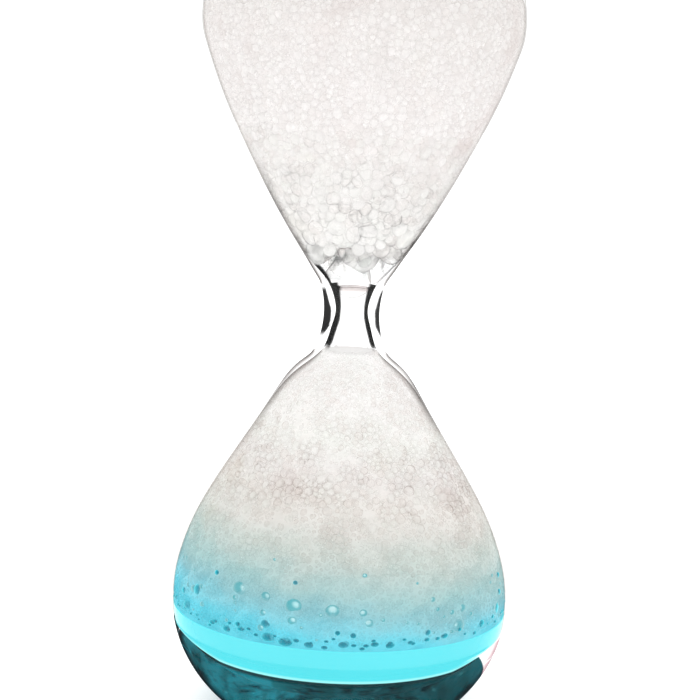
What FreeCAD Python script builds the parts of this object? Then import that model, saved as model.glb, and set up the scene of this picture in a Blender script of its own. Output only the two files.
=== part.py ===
import FreeCAD, Part
import math
import os

from FreeCAD import Vector

# Bubble hourglass: a frameless liquid timer of blown glass.
#
# Two onion-shaped bulbs are fused to a thick-walled neck tube. Each bulb ends in a heavy solid
# foot, so the timer stands on either end. The lower bulb holds a soap solution with foam on it,
# and the upper bulb is full of the foam that the neck blows when the timer is turned over.
# Millimetres, Z up, origin at the centre of the lower foot's resting plane.

# ---- driving dimensions ----
overall_height = 156.5
belly_height = 22.0             # from a foot's resting plane to its bulb's widest section
lower_belly_radius = 33.0
upper_belly_radius = 30.7
wall = 1.3                      # blown wall of both bulbs

lower_foot_radius = 20.4        # where the rounded bottom meets the resting plane
upper_foot_radius = 19.0
foot_rim_depth = 8.4            # from the widest section down to the solid foot's rim
foot_thickness = 2.4            # solid glass between the bulb and the hollow under the foot
foot_edge_round = 1.2
flat_ring_width = 6.0           # flat ring that the timer stands on, round the hollow kick
kick_height = 1.8

neck_waist_height = 78.5
neck_below_waist = 7.5
neck_above_waist = 5.5
neck_waist_radius = 5.4
neck_lower_end_radius = 7.1
neck_upper_end_radius = 6.2
bore_radius = 2.7
bore_lower_mouth_radius = 4.9
bore_upper_mouth_radius = 3.0

stem_radius = 2.0               # sealed filling stem through the upper foot
stem_tip_proud = 1.1            # how far the sealed tip stands into the kick
stem_tip_round = 1.0            # height of the rounded tip

contents_gap = 0.15             # drained film between the glass and what it holds
layer_gap = 0.1                 # between one layer of contents and the next
liquid_below_belly = 1.3
wet_foam_height = 11.0
coarse_foam_height = 13.0

raft_count = 48                 # bubbles round the glass between the liquid and the foam
raft_radius_mean = 0.88
raft_radius_swing = 0.18
raft_size_step = 5.3            # phase step that makes neighbours in the raft differ in size

big_bubble_radius = 3.4
big_bubble_ring_count = 5
big_bubble_clearance = 1.5      # from the neck's upper end to the lowest big bubble
leaning_wall_room = 1.25        # room a bubble needs at its middle where the wall leans in

film_thickness = 0.35
film_drop = 0.6                 # from the neck's upper end down to the film's edge
film_bow = 0.45

# How closely a height or a radius is looked for.
close_enough = 0.001

# Outline of each bulb from the neck joint to the belly: share of the height travelled and
# share of the radius gained at each station. Blown by hand, the two differ a little.
lower_outline = ((0.042, 0.085), (0.087, 0.172), (0.186, 0.294), (0.330, 0.463),
                 (0.536, 0.707), (0.742, 0.903), (0.887, 0.984))
upper_outline = ((0.042, 0.052), (0.084, 0.107), (0.147, 0.193), (0.337, 0.434),
                 (0.547, 0.664), (0.758, 0.862), (0.905, 0.970))
# The cavity flares out of the bore over this share of a bulb's height.
flare_share = 0.06

# ---- places that follow from them ----
neck_lower_end = neck_waist_height - neck_below_waist
neck_upper_end = neck_waist_height + neck_above_waist
floor_depth = belly_height - kick_height - foot_thickness - wall
under_depth = floor_depth + wall
rim_height = belly_height - foot_rim_depth
ORIGIN = Vector(0, 0, 0)
UP = Vector(0, 0, 1)
DOWN = Vector(0, 0, -1)


def at(radius, height):
    """A point of a profile, in the plane that is turned about Z."""
    return Vector(radius, 0, height)


def line(start, end):
    return Part.LineSegment(start, end).toShape()


def arc(start, through, end):
    return Part.Arc(start, through, end).toShape()


def curve(points, start_tangent, end_tangent):
    """A smooth curve through points; a tangent may be None, and is then left free."""
    spline = Part.BSplineCurve()
    tangents = [start_tangent or ORIGIN, *[ORIGIN] * (len(points) - 2), end_tangent or ORIGIN]
    fixed = [start_tangent is not None, *[False] * (len(points) - 2), end_tangent is not None]
    spline.interpolate(Points=points, Tangents=tangents, TangentFlags=fixed)
    return spline.toShape()


def ellipse_radius(across, deep, depth):
    return across * math.sqrt(1 - (depth / deep) ** 2)


def ellipse_arc(across, deep, from_depth, to_depth):
    """Arc of an ellipse centred at the belly, between two depths below it, on the +X side."""
    if across >= deep:
        ellipse = Part.Ellipse(at(across, belly_height), at(0, belly_height - deep),
                               at(0, belly_height))
    else:
        ellipse = Part.Ellipse(at(0, belly_height - deep), at(across, belly_height),
                               at(0, belly_height))
    ends = [ellipse.parameter(at(ellipse_radius(across, deep, depth), belly_height - depth))
            for depth in (from_depth, to_depth)]
    if max(ends) - min(ends) > math.pi:
        ends = [end - 2 * math.pi if end > math.pi else end for end in ends]
    return Part.ArcOfEllipse(ellipse, min(ends), max(ends)).toShape()


def turned(edges):
    """The solid that a closed profile sweeps in a full turn about Z.

    Curved edges are swept as splines, so that a surface keeps its pole on the axis.
    """
    swept = []
    for edge in edges:
        if not isinstance(edge.Curve, Part.Line):
            edge = edge.Curve.toBSpline(edge.FirstParameter, edge.LastParameter).toShape()
        swept.append(edge)
    face = Part.Face(Part.Wire(Part.__sortEdges__(swept)))
    return face.revolve(ORIGIN, UP, 360)


def upside_down(shape):
    """The same shape at the other end of the timer."""
    return shape.mirror(at(0, overall_height / 2), UP)


def neck_outside():
    """Waisted outside of the neck, from its lower end to its upper end."""
    return arc(at(neck_lower_end_radius, neck_lower_end),
               at(neck_waist_radius, neck_waist_height),
               at(neck_upper_end_radius, neck_upper_end))


def outline_stations(joint_radius, joint_height, belly_radius, outline):
    """Points of a bulb's outside, from the neck joint down to the belly."""
    drop = joint_height - belly_height
    gain = belly_radius - joint_radius
    between = [at(joint_radius + gain * out, joint_height - drop * down) for down, out in outline]
    return [at(joint_radius, joint_height), *between, at(belly_radius, belly_height)]


def cavity_side(stations, mouth_radius, inset):
    """Points of a cavity's side, from the bore's mouth down to the belly, inset in the wall."""
    joint = stations[0]
    flare_end = joint.z - flare_share * (joint.z - belly_height)
    side = [at(mouth_radius, joint.z)]
    for above, here, below in zip(stations, stations[1:], stations[2:]):
        along = (below - above).normalize()
        if here.z < flare_end:
            side.append(here + Vector(along.z, 0, -along.x) * inset)
    side.append(stations[-1] - at(inset, 0))
    return side


def bulb_shell(stations, mouth_radius, foot_radius, joint_tangent):
    """Blown bulb with its rounded end down, open at the neck joint."""
    belly_radius = stations[-1].x
    joint = stations[0]
    bottom_depth = belly_height / math.sqrt(1 - (foot_radius / belly_radius) ** 2)
    rim_radius = ellipse_radius(belly_radius, bottom_depth, foot_rim_depth)
    under_radius = ellipse_radius(belly_radius, under_depth, foot_rim_depth)
    return turned([
        line(at(mouth_radius, joint.z), joint),
        curve(stations, joint_tangent, DOWN),
        ellipse_arc(belly_radius, bottom_depth, 0, foot_rim_depth),
        line(at(rim_radius, rim_height), at(under_radius, rim_height)),
        ellipse_arc(belly_radius, under_depth, foot_rim_depth, under_depth),
        line(at(0, belly_height - under_depth), at(0, belly_height - floor_depth)),
        ellipse_arc(belly_radius - wall, floor_depth, 0, floor_depth),
        curve(cavity_side(stations, mouth_radius, wall), None, DOWN),
    ])


def solid_foot(belly_radius, foot_radius):
    """Heavy glass foot under a bulb, with a flat ring to stand on round a hollow kick."""
    bottom_depth = belly_height / math.sqrt(1 - (foot_radius / belly_radius) ** 2)
    rim_radius = ellipse_radius(belly_radius, bottom_depth, foot_rim_depth)
    under_radius = ellipse_radius(belly_radius, under_depth, foot_rim_depth)
    kick_radius = foot_radius - foot_edge_round - flat_ring_width
    kick_sphere = (kick_radius ** 2 + kick_height ** 2) / (2 * kick_height)
    half_out = kick_radius / 2
    half_up = kick_height - kick_sphere + math.sqrt(kick_sphere ** 2 - half_out ** 2)
    foot = turned([
        ellipse_arc(belly_radius, under_depth, foot_rim_depth, under_depth),
        line(at(under_radius, rim_height), at(rim_radius, rim_height)),
        ellipse_arc(belly_radius, bottom_depth, foot_rim_depth, belly_height),
        line(at(foot_radius, 0), at(kick_radius, 0)),
        arc(at(kick_radius, 0), at(half_out, half_up), at(0, kick_height)),
        line(at(0, kick_height), at(0, belly_height - under_depth)),
    ])
    rings = [e for e in foot.Edges if not e.Degenerated and isinstance(e.Curve, Part.Circle)]
    corner = [e for e in rings if abs(e.Curve.Center.z) < close_enough
              and abs(e.Curve.Radius - foot_radius) < close_enough]
    return foot.makeFillet(foot_edge_round, corner)


def cavity_fill(stations, mouth_radius):
    """What a bulb can hold: its cavity, less a thin gap inside the glass all round."""
    side = cavity_side(stations, mouth_radius - contents_gap, wall + contents_gap)
    side[0] = side[0] + DOWN * contents_gap
    depth = floor_depth - contents_gap
    return turned([
        line(at(0, side[0].z), side[0]),
        curve(side, None, DOWN),
        ellipse_arc(side[-1].x, depth, 0, depth),
        line(at(0, belly_height - depth), at(0, side[0].z)),
    ])


def slab(solid, low, high):
    """The part of a turned solid between two heights."""
    reach = 2 * max(lower_belly_radius, upper_belly_radius)
    return solid.common(Part.makeCylinder(reach, high - low, at(0, low), UP))


def radius_at(solid, height):
    """Radius of a turned solid at one height."""
    return max(wire.BoundBox.XMax for wire in solid.slice(UP, height))


def height_where(solid, radius, low, high):
    """Height between low and high where a solid that widens upwards reaches a radius."""
    while high - low > close_enough:
        middle = (low + high) / 2
        if radius_at(solid, middle) < radius:
            low = middle
        else:
            high = middle
    return high


def neck_tube():
    """Thick-walled neck, waisted outside and inside, with a bore that flares at both ends."""
    return turned([
        neck_outside(),
        line(at(neck_upper_end_radius, neck_upper_end), at(bore_upper_mouth_radius, neck_upper_end)),
        arc(at(bore_upper_mouth_radius, neck_upper_end), at(bore_radius, neck_waist_height),
            at(bore_lower_mouth_radius, neck_lower_end)),
        line(at(bore_lower_mouth_radius, neck_lower_end), at(neck_lower_end_radius, neck_lower_end)),
    ])


def filling_stem():
    """Glass stem in the upper foot, sealed by a rounded tip that stays inside the kick.

    Modelled at the lower end and turned over with the foot.
    """
    tip = kick_height - stem_tip_proud
    shoulder = tip + stem_tip_round
    inner_end = belly_height - floor_depth
    stem = Part.makeCylinder(stem_radius, inner_end - shoulder, at(0, shoulder), UP)
    cap = Part.makeSphere(stem_radius)
    squash = FreeCAD.Matrix()
    squash.scale(Vector(1, 1, stem_tip_round / stem_radius))
    cap = cap.transformGeometry(squash)
    cap.translate(at(0, shoulder))
    return stem.fuse(cap).removeSplitter()


def bubble_raft(low, side_radius):
    """Ring of bubbles against the glass between the liquid and the foam, as separate solids."""
    bubbles = []
    for i in range(raft_count):
        turn = 2 * math.pi * i / raft_count
        radius = raft_radius_mean + raft_radius_swing * math.sin(raft_size_step * i)
        out = side_radius - radius
        place = Vector(out * math.cos(turn), out * math.sin(turn), low + radius)
        bubbles.append(Part.makeSphere(radius, place))
    return Part.makeCompound(bubbles)


def big_bubble_heights(upper_fill):
    """Heights of the lowest big bubble, of the ring round it and of the one above the ring."""
    ring_radius = big_bubble_ring_radius()
    rise = math.sqrt((2 * big_bubble_radius + contents_gap) ** 2 - ring_radius ** 2)
    first = neck_upper_end + big_bubble_clearance + big_bubble_radius
    room = ring_radius + leaning_wall_room * big_bubble_radius
    upper_belly = overall_height - belly_height
    ring = max(first + rise, height_where(upper_fill, room, first, upper_belly))
    return first, ring, ring + rise


def big_bubble_ring_radius():
    """Radius on which the ring's bubbles stand side by side with a thin gap between them."""
    return (big_bubble_radius + contents_gap / 2) / math.sin(math.pi / big_bubble_ring_count)


def big_bubbles(heights):
    """Freshly blown bubbles above the neck: one on the axis, a ring of them, one above it."""
    first, ring, last = heights
    ring_radius = big_bubble_ring_radius()
    places = [at(0, first), at(0, last)]
    for i in range(big_bubble_ring_count):
        turn = 2 * math.pi * i / big_bubble_ring_count
        places.append(Vector(ring_radius * math.cos(turn), ring_radius * math.sin(turn), ring))
    return Part.makeCompound([Part.makeSphere(big_bubble_radius, place) for place in places])


def neck_film():
    """Bowed soap film across the bore, just below the neck's upper end."""
    edge = bore_radius - contents_gap
    low = neck_upper_end - film_drop - film_thickness
    high = low + film_thickness
    half_out_bow = 3 / 4 * film_bow     # a shallow bow has three quarters of its height there
    return turned([
        arc(at(edge, low), at(edge / 2, low + half_out_bow), at(0, low + film_bow)),
        line(at(0, low + film_bow), at(0, high + film_bow)),
        arc(at(0, high + film_bow), at(edge / 2, high + half_out_bow), at(edge, high)),
        line(at(edge, high), at(edge, low)),
    ])


def glass_nodes(lower_stations, upper_stations):
    """The blown envelope: bulbs, feet, neck and the sealed filling stem."""
    neck = neck_outside()
    lower_tangent = neck.tangentAt(neck.FirstParameter) * -1
    upper_tangent = neck.tangentAt(neck.LastParameter)
    upper_tangent.z = -upper_tangent.z
    stem_hole = upside_down(Part.makeCylinder(stem_radius, belly_height, ORIGIN, UP))
    upper_bulb = bulb_shell(upper_stations, bore_upper_mouth_radius, upper_foot_radius, upper_tangent)
    upper_foot = solid_foot(upper_belly_radius, upper_foot_radius)
    return {
        "lower_bulb": bulb_shell(lower_stations, bore_lower_mouth_radius, lower_foot_radius,
                                 lower_tangent),
        "lower_foot": solid_foot(lower_belly_radius, lower_foot_radius),
        "neck_tube": neck_tube(),
        "upper_bulb": upside_down(upper_bulb).cut(stem_hole),
        "upper_foot": upside_down(upper_foot).cut(stem_hole),
        "filling_stem": upside_down(filling_stem()),
    }


def contents_nodes(lower_stations, upper_stations):
    """What the glass holds, layer on layer from the bottom up."""
    lower_fill = cavity_fill(lower_stations, bore_lower_mouth_radius)
    upper_fill = upside_down(cavity_fill(upper_stations, bore_upper_mouth_radius))
    liquid_top = belly_height - liquid_below_belly
    raft_low = liquid_top + layer_gap
    raft_high = raft_low + 2 * (raft_radius_mean + raft_radius_swing) + layer_gap
    wet_top = raft_high + wet_foam_height
    heights = big_bubble_heights(upper_fill)
    coarse_low = heights[-1] + big_bubble_radius + layer_gap
    coarse_top = coarse_low + coarse_foam_height
    return {
        "soap_solution": slab(lower_fill, 0, liquid_top),
        "bubble_raft": bubble_raft(raft_low, radius_at(lower_fill, raft_high)),
        "wet_foam": slab(lower_fill, raft_high, wet_top),
        "lower_foam": slab(lower_fill, wet_top + layer_gap, neck_lower_end),
        "neck_film": neck_film(),
        "big_bubbles": big_bubbles(heights),
        "coarse_foam": slab(upper_fill, coarse_low, coarse_top),
        "fine_foam": slab(upper_fill, coarse_top + layer_gap, overall_height),
    }


def build():
    lower_stations = outline_stations(neck_lower_end_radius, neck_lower_end,
                                      lower_belly_radius, lower_outline)
    upper_stations = outline_stations(neck_upper_end_radius, overall_height - neck_upper_end,
                                      upper_belly_radius, upper_outline)
    nodes = glass_nodes(lower_stations, upper_stations)
    nodes.update(contents_nodes(lower_stations, upper_stations))
    os.makedirs("parts", exist_ok=True)
    for name, shape in nodes.items():
        shape.exportStep(os.path.join("parts", name + ".step"))
        print(name, len(shape.Solids), "solids, valid", shape.isValid(), round(shape.Volume, 1), "mm3")


build()
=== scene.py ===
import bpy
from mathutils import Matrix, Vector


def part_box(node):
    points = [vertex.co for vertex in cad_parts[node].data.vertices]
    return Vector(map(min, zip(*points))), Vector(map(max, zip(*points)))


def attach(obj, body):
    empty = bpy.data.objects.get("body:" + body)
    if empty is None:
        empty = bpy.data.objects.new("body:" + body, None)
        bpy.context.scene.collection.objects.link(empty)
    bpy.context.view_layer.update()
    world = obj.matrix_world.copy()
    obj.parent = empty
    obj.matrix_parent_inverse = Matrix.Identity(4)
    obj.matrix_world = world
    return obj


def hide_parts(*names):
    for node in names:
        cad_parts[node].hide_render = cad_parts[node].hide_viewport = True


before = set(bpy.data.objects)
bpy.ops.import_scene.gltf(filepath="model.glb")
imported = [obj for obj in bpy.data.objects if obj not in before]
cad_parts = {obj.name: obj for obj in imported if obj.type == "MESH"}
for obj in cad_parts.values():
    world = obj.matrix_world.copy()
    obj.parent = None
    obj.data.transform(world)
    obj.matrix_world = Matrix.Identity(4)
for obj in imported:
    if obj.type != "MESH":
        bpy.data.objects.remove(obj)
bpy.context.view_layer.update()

import functools
import math

import bmesh
import bpy
import numpy as np
from bpy.props import FloatProperty, FloatVectorProperty, IntProperty, PointerProperty
from mathutils import Matrix, Vector, kdtree
from mathutils.bvhtree import BVHTree

bl_info = {
    "name": "Bubble Hourglass",
    "version": (1, 0, 0),
    "blender": (4, 5, 0),
    "location": "3D View > Sidebar > Hourglass",
    "description": "Blown glass, soap solution and foam of a frameless bubble hourglass",
    "category": "Object",
}

MM = 0.001
ROOT = "root"
SEED = 7
GLASS_INDEX = 1.47             # clear thick glass shows what it holds this much wider
LIQUID_BELOW_BELLY = 1.3 * MM  # the solution stands this far below the widest section
BOWL_ABOVE_RIM = 3.6 * MM      # the liquid's underside begins this far above the foot's rim
BOWL_DEPTH = 12.65 * MM        # and shows as a bowl this deep
BOWL_ROUNDNESS = 1.6           # 1 would be an ellipse; more keeps the bowl's sides steeper
DOME_ABOVE_BELLY = 3 * MM      # the upper cavity's end begins this far above the widest section
SHOULDER_WALL = 1.6 * MM       # the wall shows this much thicker where it meets the neck
WAIST_SHARE = 0.24             # the bore shows this much narrower at its waist
WAIST_ABOVE = 7.5 * MM         # the waist's height above the neck tube's lower end
NEIGHBOURS = 14                # cells that may shape a cell
FREE_SIDE = 0.80               # reach of a cell, in its own sizes, where nothing stops it
CELL_FROM_GLASS = 0.42         # nearest that a cell's centre comes to the glass, in its own sizes
SMALLEST_CELL = 0.62           # a cell's size varies from this share of the usual size
CELL_SIZE_RANGE = 0.85         # by up to this much more
LARGE_CELLS_RARE = 2.2         # the higher, the fewer cells are large
BORDER_STARTS = 0.78           # a film's edge begins where its second nearest neighbour is this near
BORDER_WIDTH = 0.2
DENT_WAVES = 14                # waves of each size that dent the dense foam
DENT_DEPTH = 0.4
MOST_TRIANGLES = 190000        # one piece holds no more than this
CAVITY, JOINT, BASE = 1, 2, 3  # material slots of the blown glass, after the outside's own


# ---- the frame's own shape ----

@functools.lru_cache(maxsize=None)
def node_surface(node):
    """A node's own faces, ready to be met by a ray."""
    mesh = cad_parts[node].data
    return BVHTree.FromPolygons([v.co for v in mesh.vertices], [f.vertices[:] for f in mesh.polygons])


def span(node):
    """A node's lowest and highest height at rest."""
    low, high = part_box(node)
    return low[2], high[2]


def level_radius(node, height, outward):
    """Radius where a level ray meets a turned CAD node, from the axis out or from outside in."""
    aside = Vector((math.cos(0.1), math.sin(0.1), 0))
    start = Vector((0, 0, height)) if outward else aside * 0.2 + Vector((0, 0, height))
    place = node_surface(node).ray_cast(start, aside if outward else -aside)[0]
    return math.hypot(place.x, place.y) if place else 0.0


def smooth(values, passes=3):
    """Evens out the small steps that a faceted surface leaves in its radius."""
    for _ in range(passes):
        inner = (values[:-2] + 2 * values[1:-1] + values[2:]) / 4
        values = np.concatenate(([values[0]], inner, [values[-1]]))
    return values


class Outline:
    """Radii of the glass and of what it holds, by height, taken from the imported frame."""

    def __init__(self, wall_seen):
        self.foot, self.rim = span("lower_foot")
        self.top_rim, self.top = span("upper_foot")
        self.neck_low, self.neck_high = span("neck_tube")
        self.floor, self.liquid_top = span("soap_solution")
        self.ceiling = span("fine_foam")[1]
        self.belly = self.liquid_top + LIQUID_BELOW_BELLY
        self.upper_belly = self.top - self.belly
        self.wall_seen = wall_seen
        self.heights = np.linspace(self.belly, self.upper_belly, 460)
        self.outer = smooth(np.array([self.glass_at(z, False) for z in self.heights]), 12)
        self.inner = smooth(np.array([self.glass_at(z, True) for z in self.heights]), 4)
        self.below = np.linspace(self.foot + 0.05 * MM, self.belly, 90)
        self.foot_outer = smooth(np.array([self.glass_at(z, False) for z in self.below]), 2)
        self.above = np.linspace(self.upper_belly, self.top - 0.05 * MM, 90)
        self.top_outer = smooth(np.array([self.glass_at(z, False) for z in self.above]), 2)
        self.dome = self.upper_belly + DOME_ABOVE_BELLY
        self.cavity_heights = np.concatenate((np.linspace(self.rim, self.belly, 60)[:-1], self.heights,
                                              np.linspace(self.upper_belly, self.ceiling, 60)[1:]))
        self.cavity = smooth(self.seen_cavity(self.cavity_heights), 40)

    def glass_at(self, height, outward):
        """Radius of the glass at a height: its cavity when seen outward, else its outside."""
        found = [level_radius(n, height, outward) for n in
                 ("lower_foot", "lower_bulb", "neck_tube", "upper_bulb", "upper_foot")]
        found = [radius for radius in found if radius > 0]
        return min(found) if outward else max(found)

    def outer_at(self, height):
        everything = np.concatenate((self.below[:-1], self.heights, self.above[1:]))
        radii = np.concatenate((self.foot_outer[:-1], self.outer, self.top_outer[1:]))
        return np.interp(height, everything, radii)

    def wall_at(self, height):
        """Wall as it shows: thin at the bellies, thicker on the shoulders beside the neck."""
        from_neck = np.maximum(self.neck_low - height, height - self.neck_high)
        fade = np.where(np.asarray(height) < self.neck_low, 5.5 * MM, 3.5 * MM)
        return self.wall_seen + SHOULDER_WALL * np.exp(-(np.maximum(from_neck, 0) / fade) ** 2)

    def seen_cavity(self, height):
        """Radius of the cavity as the glass shows it: widened by the glass, but inside its outline."""
        waist = 1 - WAIST_SHARE * np.exp(-((height - self.neck_low - WAIST_ABOVE) / (3.2 * MM)) ** 2)
        seen = np.interp(height, self.heights, self.inner) * GLASS_INDEX * waist
        return np.minimum(seen, self.outer_at(height) - self.wall_at(height))

    def cavity_at(self, height):
        """Seen radius of the cavity at any height, closed by a dome above the upper belly."""
        height = np.asarray(height, dtype=float)
        share = np.clip((height - self.dome) / (self.ceiling - self.dome), 0, 1)
        return np.interp(height, self.cavity_heights, self.cavity) * np.sqrt(1 - share ** 2)

    def bowl_points(self, inset, count):
        """The liquid's underside as it shows: a bowl that leaves the wall above the foot's rim."""
        edge = self.rim + BOWL_ABOVE_RIM
        across = float(self.outer_at(edge)) - self.wall_seen - inset
        turns = np.linspace(0, math.pi / 2, count)
        return [(across * math.cos(t), edge - (BOWL_DEPTH - inset) * math.sin(t) ** BOWL_ROUNDNESS)
                for t in turns]


# ---- meshes ----

def add_piece(name, mesh, material, replaced):
    """Puts a finished mesh in the scene as a piece that rides on the glass."""
    piece = linked(name, mesh)
    for entry in material if isinstance(material, (list, tuple)) else [material]:
        mesh.materials.append(entry)
    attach(piece, ROOT)
    if replaced:
        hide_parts(*replaced)


def turned_mesh(name, outline, columns, ring=False):
    """Closed surface of revolution; a point on the axis becomes one vertex."""
    points = []
    rows = []
    angles = np.linspace(0, 2 * math.pi, columns, endpoint=False)
    for radius, height in outline:
        start = len(points)
        if radius < 1e-7:
            points.append((0, 0, height))
            rows.append([start] * columns)
        else:
            points += [(radius * math.cos(a), radius * math.sin(a), height) for a in angles]
            rows.append(list(range(start, start + columns)))
    faces = []
    pairs = list(zip(rows, rows[1:]))
    if ring:
        pairs.append((rows[-1], rows[0]))
    for one, two in pairs:
        for i in range(columns):
            j = (i + 1) % columns
            corner = [one[i], one[j], two[j], two[i]]
            faces.append(list(dict.fromkeys(corner)))
    mesh = bpy.data.meshes.new(name)
    mesh.from_pydata(points, [], faces)
    shell = bmesh.new()
    shell.from_mesh(mesh)
    bmesh.ops.recalc_face_normals(shell, faces=shell.faces)
    for face in shell.faces:
        face.smooth = True
    for edge in shell.edges:
        edge.smooth = edge.calc_face_angle(0) < math.radians(35)
    shell.to_mesh(mesh)
    shell.free()
    return mesh


def ball(level):
    """Vertices and triangles of a unit ball."""
    shell = bmesh.new()
    bmesh.ops.create_icosphere(shell, subdivisions=level, radius=1)
    points = np.array([v.co[:] for v in shell.verts])
    faces = np.array([[v.index for v in f.verts] for f in shell.faces])
    shell.free()
    return points, faces


def cells_mesh(name, points, faces, tones, borders=None):
    """One mesh of many closed cells, each with its own tone, and a border value along its edges."""
    count, corners, _ = points.shape
    mesh = bpy.data.meshes.new(name)
    mesh.vertices.add(count * corners)
    mesh.vertices.foreach_set("co", points.reshape(-1).astype(np.float32))
    loops = (faces[None] + (np.arange(count) * corners)[:, None, None]).reshape(-1)
    mesh.loops.add(len(loops))
    mesh.loops.foreach_set("vertex_index", loops.astype(np.int32))
    mesh.polygons.add(len(loops) // 3)
    mesh.polygons.foreach_set("loop_start", np.arange(0, len(loops), 3, dtype=np.int32))
    mesh.polygons.foreach_set("use_smooth", np.ones(len(loops) // 3, dtype=bool))
    tone = mesh.attributes.new("tone", "FLOAT", "POINT")
    tone.data.foreach_set("value", np.repeat(tones, corners).astype(np.float32))
    if borders is not None:
        border = mesh.attributes.new("border", "FLOAT", "POINT")
        border.data.foreach_set("value", borders.reshape(-1).astype(np.float32))
    mesh.update()
    mesh.validate()
    return mesh


# ---- foam ----

def tree_of(places):
    """Cell centres in a tree that finds neighbours quickly."""
    tree = kdtree.KDTree(len(places))
    for i, place in enumerate(places):
        tree.insert(place, i)
    tree.balance()
    return tree


def scatter(rng, outline, low, high, depth_at, size_at, tries, first=()):
    """Cell centres between the glass and a depth below it, spaced by size_at(height).

    Those in first, as (x, y, z, size), are kept where they are and the others keep clear of them.
    """
    heights = np.linspace(low, high, 200)
    radii = outline.cavity_at(heights)
    sizes = size_at(heights)
    depths = np.minimum(depth_at(heights), radii)
    volume = math.pi * (radii ** 2 - (radii - depths) ** 2)
    wanted = np.cumsum(volume / sizes ** 3)
    count = int(tries * wanted[-1] * (heights[1] - heights[0]))
    z = np.interp(rng.random(count) * wanted[-1], wanted, heights)
    radius, size = outline.cavity_at(z), size_at(z)
    inside = np.maximum(radius - np.minimum(depth_at(z), radius), 0)
    out = np.sqrt(inside ** 2 + rng.random(count) * (radius ** 2 - inside ** 2))
    out = np.minimum(out, np.maximum(radius - CELL_FROM_GLASS * size, 0))
    turn = rng.random(count) * 2 * math.pi
    places = np.stack((out * np.cos(turn), out * np.sin(turn), z), axis=1)
    spacing = size * (SMALLEST_CELL + CELL_SIZE_RANGE * rng.random(count) ** LARGE_CELLS_RARE)
    free = np.ones(count, dtype=bool)
    for *place, width in first:
        free &= np.linalg.norm(places - place, axis=1) > (width + spacing) / 2
    tree = tree_of(places)
    chosen = []
    for i in range(count):
        if free[i]:
            chosen.append(i)
            for _place, j, _distance in tree.find_range(places[i], spacing[i]):
                free[j] = False
    if len(first):
        first = np.array(first)
        return np.vstack((first[:, :3], places[chosen])), np.append(first[:, 3], spacing[chosen])
    return places[chosen], spacing[chosen]


def foam_cells(outline, places, sizes, level, round_off, gap, inset):
    """Rounded polyhedra round the centres, flat where two cells or a cell and the glass meet."""
    directions, faces = ball(level)
    count = len(places)
    tree = tree_of(places)
    index = np.zeros((count, NEIGHBOURS), dtype=int)
    for i, place in enumerate(places):
        found = [j for _p, j, _d in tree.find_n(place, NEIGHBOURS + 1) if j != i][:NEIGHBOURS]
        index[i] = found + [found[-1]] * (NEIGHBOURS - len(found))
    away = places[index] - places[:, None]
    distance = np.linalg.norm(away, axis=2)
    share = sizes[:, None] / (sizes[:, None] + sizes[index])
    normals = away / distance[:, :, None]
    reach = distance * share
    radius = np.hypot(places[:, 0], places[:, 1])
    wall = outline.cavity_at(places[:, 2])
    step = 0.2 * MM
    slope = outline.cavity_at(places[:, 2] + step) - outline.cavity_at(places[:, 2] - step)
    slope /= 2 * step
    lean = 1 / np.sqrt(1 + slope ** 2)
    across = places[:, :2] / np.maximum(radius, 1e-9)[:, None]
    wall_normal = np.concatenate((across * lean[:, None], (-slope * lean)[:, None]), axis=1)
    normals = np.concatenate((normals, wall_normal[:, None]), axis=1)
    reach = np.concatenate((reach, np.maximum((wall - radius) * lean - inset, 0.1 * MM)[:, None]), axis=1)
    facing = np.einsum("vk,cnk->cvn", directions, normals)
    closeness = np.maximum(facing, 0) / reach[:, None]
    own = 1 / (FREE_SIDE * sizes)
    total = (closeness ** round_off).sum(axis=2) + (own ** round_off)[:, None]
    length = total ** (-1 / round_off) * (1 - gap)
    two = np.partition(closeness, -2, axis=2)[:, :, -2:]
    nearness = two[:, :, 0] / np.maximum(two[:, :, 1], own[:, None])
    border = np.clip((nearness - BORDER_STARTS) / BORDER_WIDTH, 0, 1)
    return places[:, None] + directions[None] * length[:, :, None], faces, border


# ---- materials ----

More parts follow.
